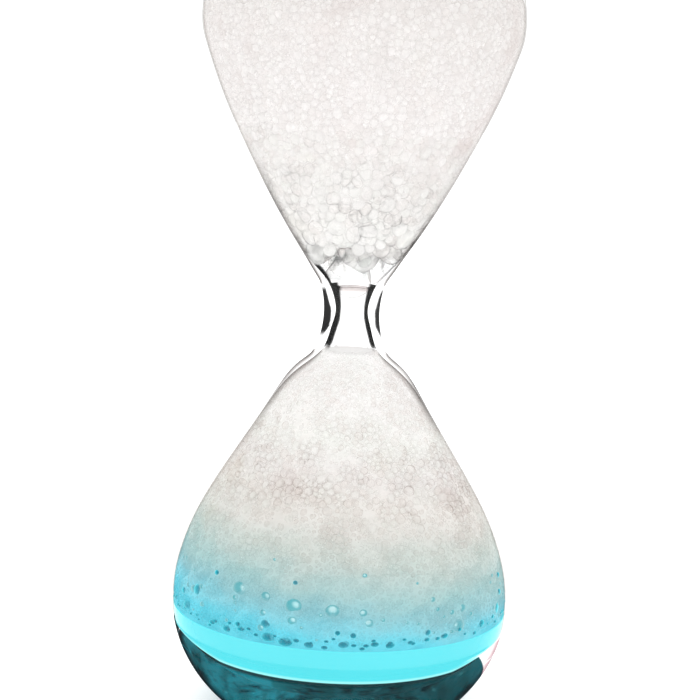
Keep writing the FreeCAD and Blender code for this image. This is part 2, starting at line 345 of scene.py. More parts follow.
class Shader:
    """A material's node tree, with short calls to add and join nodes."""

    def __init__(self, name):
        self.material = bpy.data.materials.new(name)
        self.material.use_nodes = True
        self.tree = self.material.node_tree
        self.tree.nodes.clear()
        self.output = self.add("ShaderNodeOutputMaterial")

    def feed(self, socket, value):
        """Gives a socket another node's output, a number or a colour; a lone number is a grey."""
        if isinstance(value, bpy.types.NodeSocket):
            self.tree.links.new(value, socket)
        elif socket.type == "RGBA":
            socket.default_value = (*colour_of(value), 1)
        else:
            socket.default_value = value

    def add(self, kind, **values):
        """A node with its own settings and, under their names, its sockets."""
        node = self.tree.nodes.new(kind)
        for key, value in values.items():
            if hasattr(node, key):
                setattr(node, key, value)
            else:
                self.feed(node.inputs[key.replace("_", " ")], value)
        return node

    def ramp(self, source, stops):
        node = self.add("ShaderNodeValToRGB", Fac=source)
        elements = node.color_ramp.elements
        while len(elements) < len(stops):
            elements.new(0.5)
        for element, (place, colour) in zip(elements, stops):
            element.position = place
            element.color = (*colour_of(colour), 1)
        return node.outputs["Color"]

    def spread(self, source, low, high, to_low=0.0, to_high=1.0, kind="SMOOTHSTEP"):
        node = self.add("ShaderNodeMapRange", interpolation_type=kind, Value=source, From_Min=low,
                        From_Max=high, To_Min=to_low, To_Max=to_high)
        return node.outputs["Result"]

    def math(self, kind, *values):
        node = self.add("ShaderNodeMath", operation=kind)
        for socket, value in zip(node.inputs, values):
            self.feed(socket, value)
        return node.outputs["Value"]

    def blend(self, kind, factor, one, two):
        """Mix of two colours."""
        node = self.add("ShaderNodeMix", data_type="RGBA", blend_type=kind)
        for place, value in ((0, factor), (6, one), (7, two)):
            self.feed(node.inputs[place], value)
        return node.outputs[2]

    def mix(self, factor, one, two):
        """Mix of two shaders."""
        node = self.add("ShaderNodeMixShader")
        for socket, value in zip(node.inputs, (factor, one, two)):
            self.feed(socket, value)
        return node.outputs[0]

    def place(self):
        return self.add("ShaderNodeTexCoord").outputs["Object"]

    def axes(self):
        return self.add("ShaderNodeSeparateXYZ", Vector=self.place()).outputs

    def height(self):
        return self.axes()["Z"]

    def side(self):
        """0 on the -X side of the timer and 1 on the +X side."""
        return self.spread(self.axes()["X"], -1.0 * MM, 1.0 * MM)

    def noise(self, scale, detail=3.0, stretch=None, rough=0.5):
        source = self.place()
        if stretch:
            source = self.add("ShaderNodeMapping", Vector=source, Scale=stretch).outputs["Vector"]
        node = self.add("ShaderNodeTexNoise", Scale=scale, Detail=detail, Roughness=rough, Vector=source)
        return node.outputs["Fac"]

    def around_zero(self, source, width):
        """A source from 0 to 1, moved and scaled to lie around zero."""
        return self.math("MULTIPLY", self.math("SUBTRACT", source, 0.5), width)

    def own_value(self, name):
        """A value that the mesh carries."""
        return self.add("ShaderNodeAttribute", attribute_name=name).outputs["Fac"]

    def facing(self):
        return self.add("ShaderNodeLayerWeight", Blend=0.5).outputs["Facing"]

    def clear(self, colour=1.0):
        return self.add("ShaderNodeBsdfTransparent", Color=colour).outputs[0]

    def pane(self, colour, share, roughness, waves, strength):
        """Clear glass with a share of gloss on the slow waves of hand-blown glass."""
        bump = self.add("ShaderNodeBump", Strength=strength, Distance=0.2 * MM, Height=self.noise(waves, 2))
        gloss = self.add("ShaderNodeBsdfGlossy", Roughness=roughness, Normal=bump.outputs["Normal"])
        return self.mix(share, self.clear(colour), gloss.outputs[0])

    def lit(self, colour, roughness, index=1.33, matt=0.25, glow=0.78):
        """Shader with painted light: most of it glows by its own emission, standing in for the light that
        soaks through, so hollows stay light where shade would fall.
        """
        return self.add("ShaderNodeBsdfPrincipled", Roughness=roughness, IOR=index, Emission_Strength=glow,
                        Base_Color=self.blend("MULTIPLY", 1.0, colour, matt), Emission_Color=colour)

    def share(self, low, high):
        """Share of the height from low to high, uneven, and a little higher towards the +X side."""
        axes = self.axes()
        tilt = self.math("MULTIPLY", axes["X"], 0.05 / (33 * MM))
        uneven = self.around_zero(self.noise(100, 3, (1, 1, 2)), 0.11)
        level = self.spread(axes["Z"], low, high, kind="LINEAR")
        return self.math("ADD", self.math("ADD", level, uneven), tilt)

    def done(self, surface):
        self.feed(self.output.inputs["Surface"], surface)
        return self.material


def colour_of(value):
    """A colour as it is, or a lone number as a grey."""
    return (value,) * 3 if isinstance(value, (int, float)) else tuple(value)


def blown_glass(name, neck_low, neck_high):
    """Thin clear glass with painted shade in place of refraction: dark only where it turns away, more so
    beside the neck.
    """
    s = Shader(name)
    facing = s.facing()
    thin_edge = s.ramp(facing, [(0.0, 1.0), (0.80, 0.985), (0.93, (0.80, 0.79, 0.78)),
                                (1.0, (0.36, 0.35, 0.34))])
    thick_edge = s.ramp(facing, [(0.0, 1.0), (0.62, 0.97), (0.80, (0.34, 0.32, 0.31)), (1.0, 0.02)])
    height = s.height()
    below = s.spread(height, neck_low - 22 * MM, neck_low + 1 * MM)
    above = s.spread(height, neck_high + 30 * MM, neck_high - 1 * MM)
    uneven = s.spread(s.noise(90, 2), 0.35, 0.65, 0.55, 1.0)
    near_neck = s.math("MULTIPLY", s.math("MULTIPLY", below, above), uneven)
    return s.done(s.pane(s.blend("MIX", near_neck, thin_edge, thick_edge), 0.02, 0.04, 60, 0.02))


def neck_glass(name, low, high):
    """Thick glass of the neck, with painted black bands near its outside that stand in for the light it turns
    away, darker on the -X side.
    """
    s = Shader(name)
    height = s.height()
    bulge = s.ramp(s.spread(height, low, high, kind="LINEAR"),
                   [(0.0, 0.0), (0.25, 0.12), (0.40, 0.36), (0.62, 0.36), (0.95, 0.10)])
    uneven = s.around_zero(s.noise(260, 1), 0.16)
    turned_away = s.math("ADD", s.math("ADD", s.facing(), uneven), s.math("SUBTRACT", bulge, 0.33))
    # thick and thin are the painted dark bands of the -X and +X sides.
    thick = s.ramp(turned_away, [(0.0, 1.0), (0.33, 1.0), (0.40, 0.01), (1.0, 0.01)])
    thin = s.ramp(turned_away, [(0.0, 1.0), (0.44, 1.0), (0.56, 0.10), (0.75, 0.08), (1.0, 0.45)])
    rise = s.spread(height, low + 2.4 * MM, low + 4.2 * MM)
    fall = s.spread(height, high - 0.4 * MM, high - 1.6 * MM)
    shown = s.blend("MIX", s.math("MULTIPLY", rise, fall), 0.97, s.blend("MIX", s.side(), thick, thin))
    return s.done(s.pane(shown, 0.03, 0.03, 70, 0.03))


def bore_glass(name, low):
    """The bore's surface as it shows through the neck: painted black bands at both sides in place of
    refraction, wider on the -X side, clear between.
    """
    s = Shader(name)
    height = s.height()
    flare = s.spread(height, low, low + 6 * MM, -0.13, 0.0)
    uneven = s.around_zero(s.noise(240, 1), 0.10)
    turned_away = s.math("ADD", s.math("ADD", s.facing(), uneven), flare)
    # thick and thin are the painted black bands of the -X and +X sides.
    thick = s.ramp(turned_away, [(0.0, 0.905), (0.25, 0.905), (0.33, 0.01), (1.0, 0.01)])
    thin = s.ramp(turned_away, [(0.0, 0.905), (0.32, 0.905), (0.42, 0.03), (1.0, 0.02)])
    rise = s.spread(height, low + 0.2 * MM, low + 1.6 * MM)
    return s.done(s.clear(s.blend("MIX", rise, 0.93, s.blend("MIX", s.side(), thick, thin))))


def flare_glass(name, high):
    """The upper bulb's cavity just above the bore: a painted black stroke, in place of refraction, on the -X
    side.
    """
    s = Shader(name)
    facing = s.facing()
    stroke = s.ramp(facing, [(0.0, 1.0), (0.58, 1.0), (0.68, 0.02), (1.0, 0.02)])
    edge = s.ramp(facing, [(0.0, 1.0), (0.75, 0.98), (1.0, 0.35)])
    height = s.height()
    fade = s.math("MULTIPLY", s.spread(height, high + 4.4 * MM, high + 3.2 * MM),
                  s.spread(height, high - 0.5 * MM, high + 0.3 * MM))
    return s.done(s.clear(s.blend("MIX", s.side(), s.blend("MIX", fade, edge, stroke), edge)))


def fused_joint(name):
    """Where two pieces are fused nothing shows but a trace of grey."""
    s = Shader(name)
    return s.done(s.clear(s.ramp(s.noise(200, 2), [(0.3, 0.995), (0.7, 1.0)])))


def refraction_painted_foot(name, dark, bright, rim_height):
    """Heavy foot: clear in front with painted dark edges; its far side carries a painted refraction image in
    dark teal with patches and streaks, painted glints, painted shade that changes from side to side and a
    painted dark line under the rim, and it glows a little; one side is left clear.
    """
    s = Shader(name)
    facing = s.facing()
    # Painted shade in place of refraction: dark edges where the front turns away, black on the -X side and
    # pink on the +X side.
    black_edge = s.ramp(facing, [(0.0, 1.0), (0.72, 0.97), (0.86, (0.03, 0.10, 0.12)), (1.0, 0.01)])
    pink_edge = s.ramp(facing, [(0.0, 1.0), (0.74, 0.98), (0.85, (0.62, 0.44, 0.46)),
                                (1.0, (0.42, 0.24, 0.27))])
    front = s.pane(s.blend("MIX", s.side(), black_edge, pink_edge), 0.015, 0.03, 60, 0.03)
    # Painted refraction image on the far side: dark and bright teal patches and streaks.
    patches = s.ramp(s.noise(150, 4, (1, 1, 1.6), 0.62),
                     [(0.34, dark), (0.50, bright), (0.60, bright), (0.74, dark)])
    streaks = s.ramp(s.noise(300, 3, (1, 0.2, 0.12)), [(0.40, (0.25, 0.36, 0.33)), (0.58, 1.0)])
    # Painted glints of pale cyan.
    painted_glint = s.ramp(s.noise(420, 2), [(0.66, 0.0), (0.74, (0.10, 0.42, 0.45))])
    colour = s.blend("ADD", 0.7, s.blend("MULTIPLY", 0.6, patches, streaks), painted_glint)
    x, y, height = s.axes()
    # Painted shade that changes from side to side: lightest towards the -X side, darkest a little to the +X
    # side of the middle.
    painted_side_shade = s.ramp(s.spread(x, -30 * MM, 30 * MM, kind="LINEAR"),
                     [(0.0, 0.75), (0.28, 1.0), (0.48, 0.46), (0.68, 0.30), (1.0, 0.42)])
    # Painted shade: a dark line just under the foot's rim.
    painted_line_under_rim = s.spread(height, rim_height - 1.9 * MM, rim_height - 0.6 * MM)
    colour = s.blend("MIX", painted_line_under_rim, s.blend("MULTIPLY", 1.0, colour, painted_side_shade), (0.004, 0.045, 0.055))
    # Painted light: the far side glows at half strength.
    deep = s.add("ShaderNodeBsdfPrincipled", Roughness=0.4, IOR=1.05, Base_Color=colour,
                 Emission_Color=colour, Emission_Strength=0.5)
    out = s.math("SQRT", s.math("ADD", s.math("MULTIPLY", x, x), s.math("MULTIPLY", y, y)))
    to_side = s.spread(s.math("DIVIDE", x, out), 0.895, 0.915)
    open_side = s.math("MULTIPLY", to_side, s.spread(out, 29.15 * MM, 29.35 * MM))
    far = s.mix(open_side, deep.outputs[0], s.clear())
    behind = s.add("ShaderNodeNewGeometry").outputs["Backfacing"]
    return s.done(s.mix(behind, front, far))


def solution(name, colour, rim, bottom):
    """Turquoise soap solution: even and glossy, with a painted highlight where it turns away and along its
    lower edge; it glows almost wholly by its own emission.
    """
    s = Shader(name)
    # Painted highlight: the rim colour where the solution turns away and along its lower edge.
    turned_away = s.spread(s.facing(), 0.80, 0.97)
    painted_low_edge_highlight = s.spread(s.height(), bottom + 0.9 * MM, bottom + 0.3 * MM)
    slow = s.blend("MULTIPLY", 1.0, colour, s.ramp(s.noise(45, 2), [(0.3, 0.96), (0.7, 1.0)]))
    with_painted_highlight = s.blend("MIX", s.math("MAXIMUM", turned_away, painted_low_edge_highlight), slow, rim)
    return s.done(s.lit(with_painted_highlight, 0.12, 1.2, 0.03, 0.98).outputs[0])


def foam_body(name, stops, low, high, grain, relief):
    """Dense foam behind the outer cells: its colour by height, grained by countless bubbles."""
    s = Shader(name)
    cell = s.add("ShaderNodeTexVoronoi", Scale=grain, Vector=s.place()).outputs["Distance"]
    bubbles = s.ramp(cell, [(0.0, 1.0), (0.55, 0.995), (1.0, (0.91, 0.90, 0.895))])
    colour = s.blend("MULTIPLY", 0.8, s.ramp(s.share(low, high), stops), bubbles)
    tint = s.ramp(s.noise(75, 3), [(0.36, (1.0, 0.975, 0.965)), (0.5, 1.0), (0.64, (0.975, 0.995, 0.98))])
    bump = s.add("ShaderNodeBump", Strength=0.35, Distance=relief, Height=cell, invert=True)
    # Painted light: the dense foam glows through lit().
    body = s.lit(s.blend("MULTIPLY", 0.8, colour, tint), 0.7)
    s.feed(body.inputs["Normal"], bump.outputs["Normal"])
    return s.done(body.outputs[0])


def foam_skin(name, stops, low, high, milk, edges, contrast=1.0):
    """Outer bubbles of the foam: milky films, greyer by painted shade along each bubble's edges and seams;
    both by height, and glowing through lit().
    """
    s = Shader(name)
    tone = s.own_value("tone")
    height = s.share(low, high)
    tint = s.ramp(tone, [(0.0, (0.93, 0.90, 0.885)), (0.25, (0.985, 0.965, 0.955)), (0.5, 0.99),
                         (0.8, (0.975, 0.985, 0.97)), (1.0, 1.0)])
    hue = s.blend("MULTIPLY", contrast, s.ramp(height, stops), tint)
    warm = s.ramp(s.noise(62, 3), [(0.33, (0.90, 0.855, 0.85)), (0.43, 1.0), (0.62, 1.0),
                                   (0.72, (1.0, 0.99, 0.96))])
    hue = s.blend("MULTIPLY", contrast, hue, warm)
    edge = s.ramp(height, edges)
    patchy = s.spread(s.noise(240, 2), 0.35, 0.62, 0.25, 1.0)
    # Painted shade: films greyer where they turn away, in patches.
    rim = s.blend("MIX", s.math("MULTIPLY", s.spread(s.facing(), 0.45, 0.9), patchy), 1.0, edge)
    # Painted shade along the seams where bubbles meet.
    painted_seam_weight = s.math("MULTIPLY", s.own_value("border"), s.math("MULTIPLY", patchy, 0.85))
    painted_seam_shade = s.blend("MIX", painted_seam_weight, 1.0, edge)
    cloud = s.lit(s.blend("MULTIPLY", 1.0, s.blend("MULTIPLY", 1.0, hue, rim), painted_seam_shade), 0.6, 1.2)
    milky = s.spread(tone, 0.0, 1.0, *milk, "LINEAR")
    return s.done(s.mix(milky, s.clear(s.blend("MULTIPLY", 1.0, rim, painted_seam_shade)), cloud.outputs[0]))


def clear_film(name, outline_stops, line, gloss):
    """Large bubbles: clear films that show only by painted shade where they turn away or meet."""
    s = Shader(name)
    film = s.blend("MULTIPLY", 1.0, s.ramp(s.facing(), outline_stops),
                   s.blend("MIX", s.own_value("border"), 1.0, line))
    streaks = s.ramp(s.noise(160, 2), [(0.35, (1.0, 0.985, 0.98)), (0.5, 1.0), (0.65, (0.985, 1.0, 0.99))])
    shine = s.add("ShaderNodeBsdfGlossy", Roughness=0.1)
    return s.done(s.mix(gloss, s.clear(s.blend("MULTIPLY", 1.0, film, streaks)), shine.outputs[0]))


def bead_film(name, stops, thin, thick):
    """Bubbles of the raft, coloured from the middle of each to where it turns away with painted shade and
    painted highlight in place of refraction, and glowing through lit().
    """
    s = Shader(name)
    tone = s.own_value("tone")
    colour = s.ramp(s.math("ADD", s.facing(), s.around_zero(tone, 0.05)), stops)
    seen_through = s.clear(s.blend("MIX", 0.35, 1.0, colour))
    milky = s.spread(tone, 0.0, 1.0, thin, thick, "LINEAR")
    return s.done(s.mix(milky, seen_through, s.lit(colour, 0.25, 1.15).outputs[0]))


def paper_floor(name):
    """Pale matt studio floor with the faintest unevenness, lit from below like a light table."""
    s = Shader(name)
    paper = s.ramp(s.noise(9, 3), [(0.3, 0.95), (0.7, 0.965)])
    body = s.add("ShaderNodeBsdfPrincipled", Roughness=0.9, Base_Color=paper, Emission_Color=paper,
                 Emission_Strength=0.3)
    return s.done(body.outputs[0])


# ---- what a user may change ----

def length(name, description, default, **limits):
    """A length in metres that the panel shows in the scene's own unit."""
    return FloatProperty(name=name, description=description, default=default, subtype="DISTANCE",
                         unit="LENGTH", **limits)


def tint(name, description, default):
    return FloatVectorProperty(name=name, description=description, default=default, size=3,
                               subtype="COLOR", min=0, max=1)


class GlassSettings(bpy.types.PropertyGroup):
    wall_seen: length("Visible wall", "Wall thickness that shows at the bellies", 0.18 * MM,
                      min=0.1 * MM, max=1.3 * MM)
    columns: IntProperty(name="Columns", description="Facets round the glass", default=224, min=24)
    # Foot shade and light are the darkest and lightest colours of the painted refraction image on the foot's
    # far side.
    foot_dark: tint("Foot shade", "Darkest colour inside the lower foot", (0.003, 0.060, 0.080))
    foot_bright: tint("Foot light", "Lightest colour inside the lower foot", (0.035, 0.370, 0.440))


class LiquidSettings(bpy.types.PropertyGroup):
    colour: tint("Colour", "Colour of the soap solution", (0.105, 0.84, 0.93))
    # The rim colour is a painted highlight where the solution turns away and along its lower edge.
    rim: tint("Rim colour", "Colour where the solution turns away", (0.35, 1.0, 1.0))
    # The bead colour is painted shade in the middle of each raft bubble.
    bead_dark: tint("Bead ring", "Dark ring of the bubbles at the surface", (0.001, 0.175, 0.245))
    raft_count: IntProperty(name="Raft bubbles", description="Dark bubbles along the liquid's surface",
                            default=84, min=1)
    ring_count: IntProperty(name="Ring bubbles", description="Clear bubbles in the wet foam",
                            default=90, min=1)


class FoamSettings(bpy.types.PropertyGroup):
    big_cell: length("Big cells", "Size of the fresh bubbles above the neck", 3.7 * MM,
                     min=1 * MM, max=8 * MM)
    fine_cell: length("Fine cells", "Size of the bubbles at the top of the upper bulb", 0.9 * MM,
                      min=0.6 * MM, max=4 * MM)
    lower_cell: length("Lower cells", "Size of the bubbles in the lower bulb", 0.82 * MM,
                       min=0.6 * MM, max=4 * MM)
    layer: length("Layer depth", "Depth of separate cells before the dense foam", 1.7 * MM,
                  min=1 * MM, max=8 * MM)
    seed: IntProperty(name="Seed", description="Picks another arrangement of the bubbles", default=SEED)


class StageSettings(bpy.types.PropertyGroup):
    lens: FloatProperty(name="Lens", description="Focal length of the camera", default=87.9, min=20,
                        unit="CAMERA")
    distance: length("Distance", "From the timer's axis to the camera", 330 * MM, min=0.1)
    camera_height: length("Camera height", "Height of the camera above the floor", 115.1 * MM)
    aim_height: length("Aim height", "Height on the axis that the camera looks at", 71.2 * MM)
    surround: FloatProperty(name="Surround", description="Brightness of the white surround",
                            default=1.18, min=0)
    roll: FloatProperty(name="Roll", description="Tilt of the camera about its line of sight",
                        default=math.radians(2.52), subtype="ANGLE", unit="ROTATION")


class Settings(bpy.types.PropertyGroup):
    glass: PointerProperty(type=GlassSettings)
    liquid: PointerProperty(type=LiquidSettings)
    foam: PointerProperty(type=FoamSettings)
    stage: PointerProperty(type=StageSettings)


def settings():
    return bpy.context.scene.hourglass


@functools.lru_cache(maxsize=None)
def outline_for(wall_seen):
    return Outline(wall_seen)


def the_outline():
    return outline_for(settings().glass.wall_seen)


# ---- pieces ----

def ellipse_points(belly, end, across, count):
    """Quarter ellipse from the widest section to its pole."""
    return [(across * math.cos(t), belly + (end - belly) * math.sin(t))
            for t in np.linspace(0, math.pi / 2, count)]


def wall_points(radius_at, low, high, count):
    """Points along a wall from one height to another."""
    return [(float(radius_at(z)), float(z)) for z in np.linspace(low, high, count)]


def is_inward(face):
    return face.normal.x * face.center.x + face.normal.y * face.center.y < 0


def is_level(face):
    return abs(face.normal.z) > 0.9


def bulb_glass(name, joint, belly, end, rim, material, base, replaced):
    """A bulb's thin shell: cavity side and outside, closed at the neck joint and under the floor."""
    outline = the_outline()
    side = 1 if end > belly else -1
    if side > 0:
        turns = np.linspace(math.pi / 2, 0, 60)
        cavity_end = [(float(outline.cavity_at(belly + (end - belly) * math.sin(t))),
                       belly + (end - belly) * math.sin(t)) for t in turns]
        cavity_wall = wall_points(outline.cavity_at, belly, joint, 220)[1:]
    else:
        cavity_end = outline.bowl_points(0.0, 44)[::-1]
        cavity_wall = wall_points(outline.cavity_at, rim + BOWL_ABOVE_RIM, joint, 240)[1:]
    outside = wall_points(outline.outer_at, joint, rim - side * 0.02 * MM, 240)
    pole = end + outline.wall_seen if side > 0 else end - 1.4 * MM
    under = [point for point in ellipse_points(belly, pole, float(outline.outer_at(belly)), 90)
             if (point[1] - rim) * side > -0.01 * MM]
    loop = cavity_end + cavity_wall + outside + under
    mesh = turned_mesh(name, loop, settings().glass.columns)
    materials = [material, flare_glass(name + " flare", joint), fused_joint(name + " joint"), base]
    add_piece(name, mesh, materials, [replaced])
    for face in mesh.polygons:
        at_joint = is_level(face) and abs(face.center.z - joint) < 0.2 * MM
        in_foot = (face.center.z - rim) * side > -0.3 * MM
        in_bowl = side < 0 and face.center.z < rim + BOWL_ABOVE_RIM
        if at_joint or in_foot or (in_bowl and is_inward(face)):
            face.material_index = JOINT
        elif in_bowl:
            face.material_index = BASE
        elif side > 0 and is_inward(face) and face.center.z < joint + 6 * MM:
            face.material_index = CAVITY


@functools.lru_cache(maxsize=None)
def teal_glass():
    """The lower foot's material, shared with the bulb's outside where the two are fused."""
    glass = settings().glass
    return refraction_painted_foot("teal foot glass", tuple(glass.foot_dark), tuple(glass.foot_bright), the_outline().rim)


def neck_piece():
    """The neck tube: waisted outside, and the bore as wide as it shows through the glass."""
    outline = the_outline()
    low, high = outline.neck_low, outline.neck_high
    outside = wall_points(outline.outer_at, low, high, 120)
    bore = wall_points(outline.cavity_at, high, low, 120)
    mesh = turned_mesh("neck_tube_glass", outside + bore, settings().glass.columns, ring=True)
    glass = [neck_glass("neck glass", low, high), bore_glass("bore glass", low), fused_joint("fused joint")]
    add_piece("neck_tube_glass", mesh, glass, ["neck_tube"])
    for face in mesh.polygons:
        face.material_index = JOINT if is_level(face) else CAVITY * is_inward(face)


def foam_core(name, outline, low, high, depth_at, material, replaced, rounded=0.0):
    """Dense foam body below the outer cells, dimpled all over; its foot may be rounded off."""
    heights = low + (high - low) * np.linspace(0, 1, 170) ** (1.4 if rounded else 1)
    side = np.maximum(outline.cavity_at(heights) - depth_at(heights), 0.3 * MM)
    if rounded:
        share = np.clip((heights - low) / rounded, 0, 1)
        side *= np.sqrt(np.clip(1 - (1 - share) ** 2, 0.0004, 1))
    loop = [(0.0, low), *zip(side.tolist(), heights.tolist()), (0.0, high)]
    mesh = turned_mesh(name, loop, 360)
    points = np.empty(len(mesh.vertices) * 3)
    mesh.vertices.foreach_get("co", points)
    points = points.reshape(-1, 3)
    dent = np.zeros(len(points))
    rng = np.random.default_rng(SEED + len(name))
    for size in (4.5 * MM, 2.1 * MM, 1.1 * MM):
        waves = 2.2 * rng.normal(size=(DENT_WAVES, 3)) / size
        phases = rng.random(DENT_WAVES) * 2 * math.pi
        dent += np.sin(points @ waves.T + phases).sum(axis=1) / DENT_WAVES * size
    out = np.hypot(points[:, 0], points[:, 1])
    inside = (points[:, 2] > low + 0.01 * MM) & (points[:, 2] < high - 0.01 * MM)
    push = np.where(inside, 1 + DENT_DEPTH * dent / np.maximum(out, 2 * MM), 1)
    most = np.where(inside, outline.cavity_at(points[:, 2]) - 0.12 * MM, np.inf)
    push = np.minimum(push, most / np.maximum(out, 1e-6))
    points[:, :2] *= push[:, None]
    mesh.vertices.foreach_set("co", points.reshape(-1))
    mesh.update()
    add_piece(name, mesh, material, replaced)


def upper_size(height):
    """Cell size in the upper bulb: large where bubbles are blown, fine at the top."""
    foam = settings().foam
    rise = np.asarray(height) - the_outline().neck_high
    fresh = (foam.big_cell - foam.fine_cell) * np.exp(-(rise / (9 * MM)) ** 1.1)
    return foam.fine_cell + fresh + 0.25 * MM * np.exp(-(rise / (32 * MM)) ** 2)


# The first bubbles above the neck: x, y, height above the neck's end and width, in millimetres.
FRESH_BUBBLES = (
    (-0.6, -0.5, 2.6, 6.6), (5.0, -1.6, 3.4, 4.0), (-1.5, 4.6, 4.4, 4.6), (1.2, -3.0, 7.2, 8.2),
    (-6.4, -2.6, 7.4, 5.2), (-3.6, -6.2, 10.4, 3.8), (6.9, -2.8, 6.9, 3.6), (-7.2, 3.0, 9.6, 4.6),
    (4.8, 5.6, 8.0, 5.6), (-2.0, 6.8, 9.6, 5.0), (1.6, -8.6, 11.6, 3.6), (6.4, -6.2, 10.4, 3.4),
)


def fresh_bubbles(outline):
    """Centres and widths of the first bubbles, in metres and in the timer's frame."""
    return [(x * MM, y * MM, outline.neck_high + rise * MM, width * MM)
            for x, y, rise, width in FRESH_BUBBLES]


def core_start(outline):
    """Height above which the upper bulb's foam has a dense body."""
    return outline.neck_high + 4.5 * MM


def upper_depth(height):
    """Depth of the upper bulb's separate cells."""
    return settings().foam.layer + 0.85 * (upper_size(height) - settings().foam.fine_cell)


def crowd():
    """Centres tried for each cell that finds room."""
    return 9


@functools.lru_cache(maxsize=None)
def upper_cells():
    """Centres and sizes of all cells of the upper bulb."""
    outline = the_outline()
    rng = np.random.default_rng(settings().foam.seed)
    open_top = core_start(outline) + 3 * MM

    def depth_at(height):
        return upper_depth(height) + 0.6 * MM + 30 * MM * np.clip((open_top - height) / MM, 0, 1)

    return scatter(rng, outline, outline.neck_high + 4.0 * MM, outline.ceiling - 0.6 * MM, depth_at,
                   upper_size, crowd(), fresh_bubbles(outline))


@functools.lru_cache(maxsize=None)
def lower_cells():
    """Centres and sizes of all cells of the lower bulb."""
    outline = the_outline()
    foam = settings().foam
    rng = np.random.default_rng(foam.seed + 1)
    low, high = outline.liquid_top + 1.5 * MM, outline.neck_low

    def size_at(height):
        share = np.clip((np.asarray(height) - low) / (high - low), 0, 1)
        return np.interp(share, (0, 0.28, 0.5, 0.75, 1), (0.95, 1.05, 1.35, 1.15, 0.95)) * foam.lower_cell

    return scatter(rng, outline, low, high, lambda z: lower_depth(z) + 0.4 * MM, size_at, crowd())


def lower_depth(height):
    """Depth of the lower bulb's separate cells: wet foam is almost even, drained foam is open."""
    outline = the_outline()
    share = (np.asarray(height) - outline.liquid_top) / (outline.neck_low - outline.liquid_top)
    open_share = np.interp(share, (0, 0.28, 0.42, 0.52, 0.66, 1), (0.16, 0.14, 0.22, 0.6, 0.42, 0.3))
    return settings().foam.layer * open_share


def cell_piece(name, cells, low, high, level, material, replaced, round_off=9, gap=0.03, inset=0.0):
    """All the cells whose centres lie between two heights, in as few pieces as may be."""
    order = np.argsort(cells[0][:, 2], kind="stable")
    places, sizes = cells[0][order], cells[1][order]
    heights = places[:, 2]
    within = np.flatnonzero((heights >= low) & (heights < high))
    per_cell = 20 * 4 ** (level - 1)
    parts = max(1, math.ceil(len(within) * per_cell / MOST_TRIANGLES))
    rng = np.random.default_rng(SEED + len(within))
    reach = 8 * MM
    for part, chosen in enumerate(np.array_split(within, parts)):
        near = np.flatnonzero((heights >= heights[chosen[0]] - reach)
                              & (heights <= heights[chosen[-1]] + reach))
        points, faces, border = foam_cells(the_outline(), places[near], sizes[near], level, round_off, gap,
                                           inset)
        own = np.isin(near, chosen)
        mesh = cells_mesh(f"{name}_{part + 1}", points[own], faces, rng.random(len(chosen)), border[own])
        add_piece(mesh.name, mesh, material, replaced if part == 0 else [])


# ---- operators ----

class BuildStep:
    """Runs an operator's own build step with the timer's outline."""

    def execute(self, context):
        self.build(the_outline())
        return {"FINISHED"}


class HOURGLASS_OT_bulbs(BuildStep, bpy.types.Operator):
    """Blow the two bulbs as thin glass shells"""
    bl_idname = "hourglass.bulbs"
    bl_label = "Glass Bulbs"

    def build(self, outline):
        glass = blown_glass("blown glass", outline.neck_low, outline.neck_high)
        bulb_glass("lower_bulb_glass", outline.neck_low, outline.belly, outline.floor, outline.rim, glass,
                   teal_glass(), "lower_bulb")
        bulb_glass("upper_bulb_glass", outline.neck_high, outline.upper_belly, outline.ceiling,
                   outline.top_rim, glass, glass, "upper_bulb")


class HOURGLASS_OT_neck(BuildStep, bpy.types.Operator):
    """Make the thick neck tube with its bore"""
    bl_idname = "hourglass.neck"
    bl_label = "Neck Tube"

    def build(self, outline):
        neck_piece()


class HOURGLASS_OT_feet(BuildStep, bpy.types.Operator):
    """Give the solid feet and the filling stem their glass"""
    bl_idname = "hourglass.feet"
    bl_label = "Feet and Stem"

    def build(self, outline):
        teal = teal_glass()
        clear = blown_glass("clear foot glass", outline.neck_low, outline.neck_high)
        for node, material in (("lower_foot", teal), ("upper_foot", clear), ("filling_stem", clear)):
            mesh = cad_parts[node].data
            mesh.materials.clear()
            mesh.materials.append(material)


class HOURGLASS_OT_solution(BuildStep, bpy.types.Operator):
    """Pour the turquoise soap solution into the lower bulb"""
    bl_idname = "hourglass.solution"
    bl_label = "Soap Solution"

    def build(self, outline):
        liquid = settings().liquid
        inset = 0.05 * MM
        wall = wall_points(outline.cavity_at, outline.rim + BOWL_ABOVE_RIM, outline.liquid_top, 50)[1:]
        loop = outline.bowl_points(inset, 50)[::-1] + [(radius - inset, z) for radius, z in wall]
        loop.append((0.0, outline.liquid_top))
        mesh = turned_mesh("soap_solution_liquid", loop, settings().glass.columns)
        material = solution("turquoise solution", tuple(liquid.colour), tuple(liquid.rim), outline.rim)
        add_piece("soap_solution_liquid", mesh, material, ["soap_solution"])


